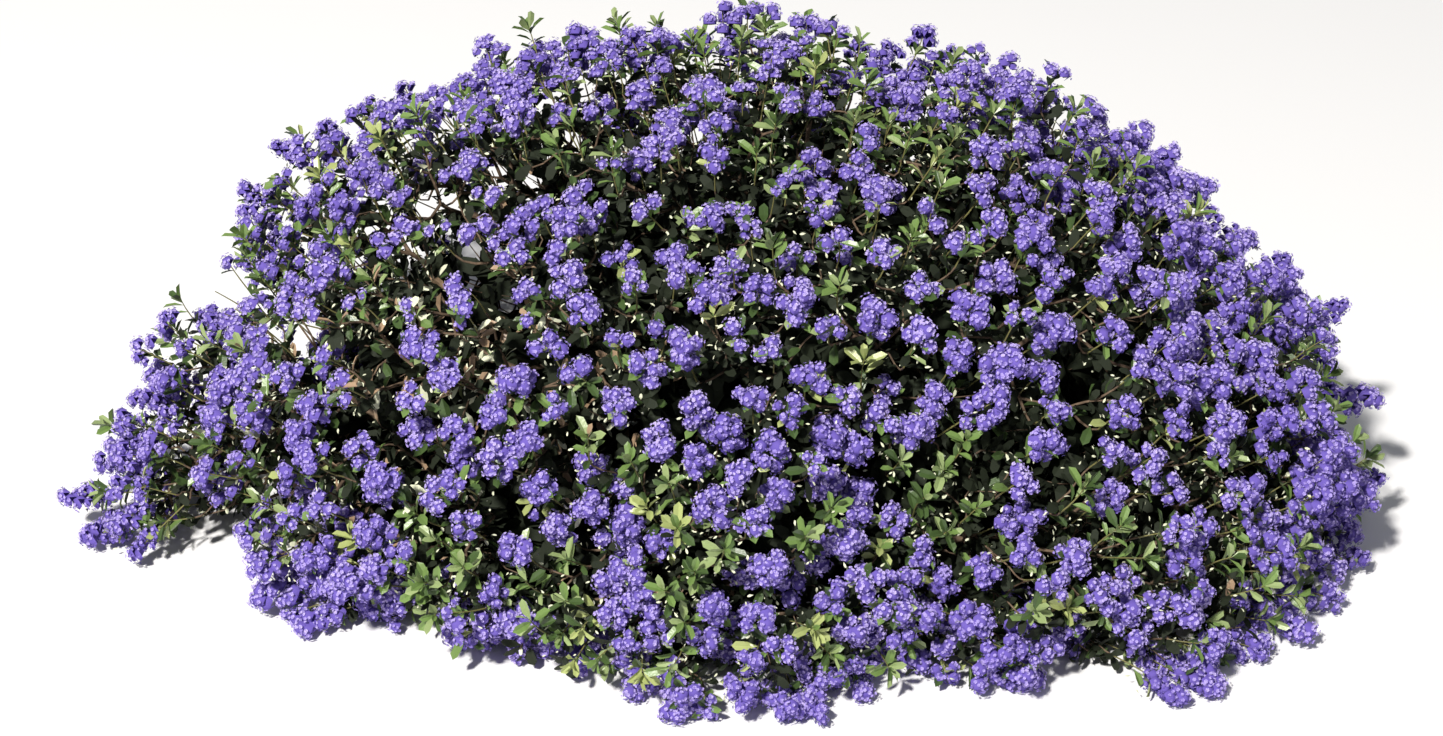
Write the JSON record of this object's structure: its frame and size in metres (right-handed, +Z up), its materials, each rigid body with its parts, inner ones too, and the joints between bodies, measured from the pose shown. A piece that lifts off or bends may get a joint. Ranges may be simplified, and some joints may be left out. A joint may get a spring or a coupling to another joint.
{
  "type": "california lilac",
  "caption": "Low, wide evergreen shrub in full violet-blue bloom, with a short stem, tapering boughs and separate masses of foliage.",
  "frame": {"origin": "middle of the flat cut under the stem, at ground level", "axes": "+X towards the rounded right side of the mound, opposite its low left arm; +Y from the front towards the back; +Z up from the ground"},
  "size_m": [1.3168, 0.9183, 0.4725],
  "materials": {
    "bark": "grey-brown, ridged and matt, on the stem",
    "bough_bark": "brown, lightly ridged and matt, on the boughs",
    "twigs": "brown to green young wood, matt",
    "foliage": "masses of small leaves and blossom, matt overall",
    "leaves": "small mid-green leaves with a low gloss and paler undersides",
    "blossom": "violet-blue umbels of tiny florets, soft and matt"
  },
  "bodies": {
    "root": {"stem": "bark", "bough_low_1": "bough_bark", "foliage_low_1": "foliage", "bough_low_2": "bough_bark", "foliage_low_2": "foliage", "bough_low_3": "bough_bark", "foliage_low_3": "foliage", "bough_low_4": "bough_bark", "foliage_low_4": "foliage", "bough_low_5": "bough_bark", "foliage_low_5": "foliage", "bough_low_6": "bough_bark", "foliage_low_6": "foliage", "bough_low_7": "bough_bark", "foliage_low_7": "foliage", "bough_low_8": "bough_bark", "foliage_low_8": "foliage", "bough_low_9": "bough_bark", "foliage_low_9": "foliage", "bough_low_10": "bough_bark", "foliage_low_10": "foliage", "bough_high_1": "bough_bark", "foliage_high_1": "foliage", "bough_high_2": "bough_bark", "foliage_high_2": "foliage", "bough_high_3": "bough_bark", "foliage_high_3": "foliage", "bough_high_4": "bough_bark", "foliage_high_4": "foliage", "bough_high_5": "bough_bark", "foliage_high_5": "foliage", "bough_top": "bough_bark", "foliage_top": "foliage"}
  },
  "joints": []
}
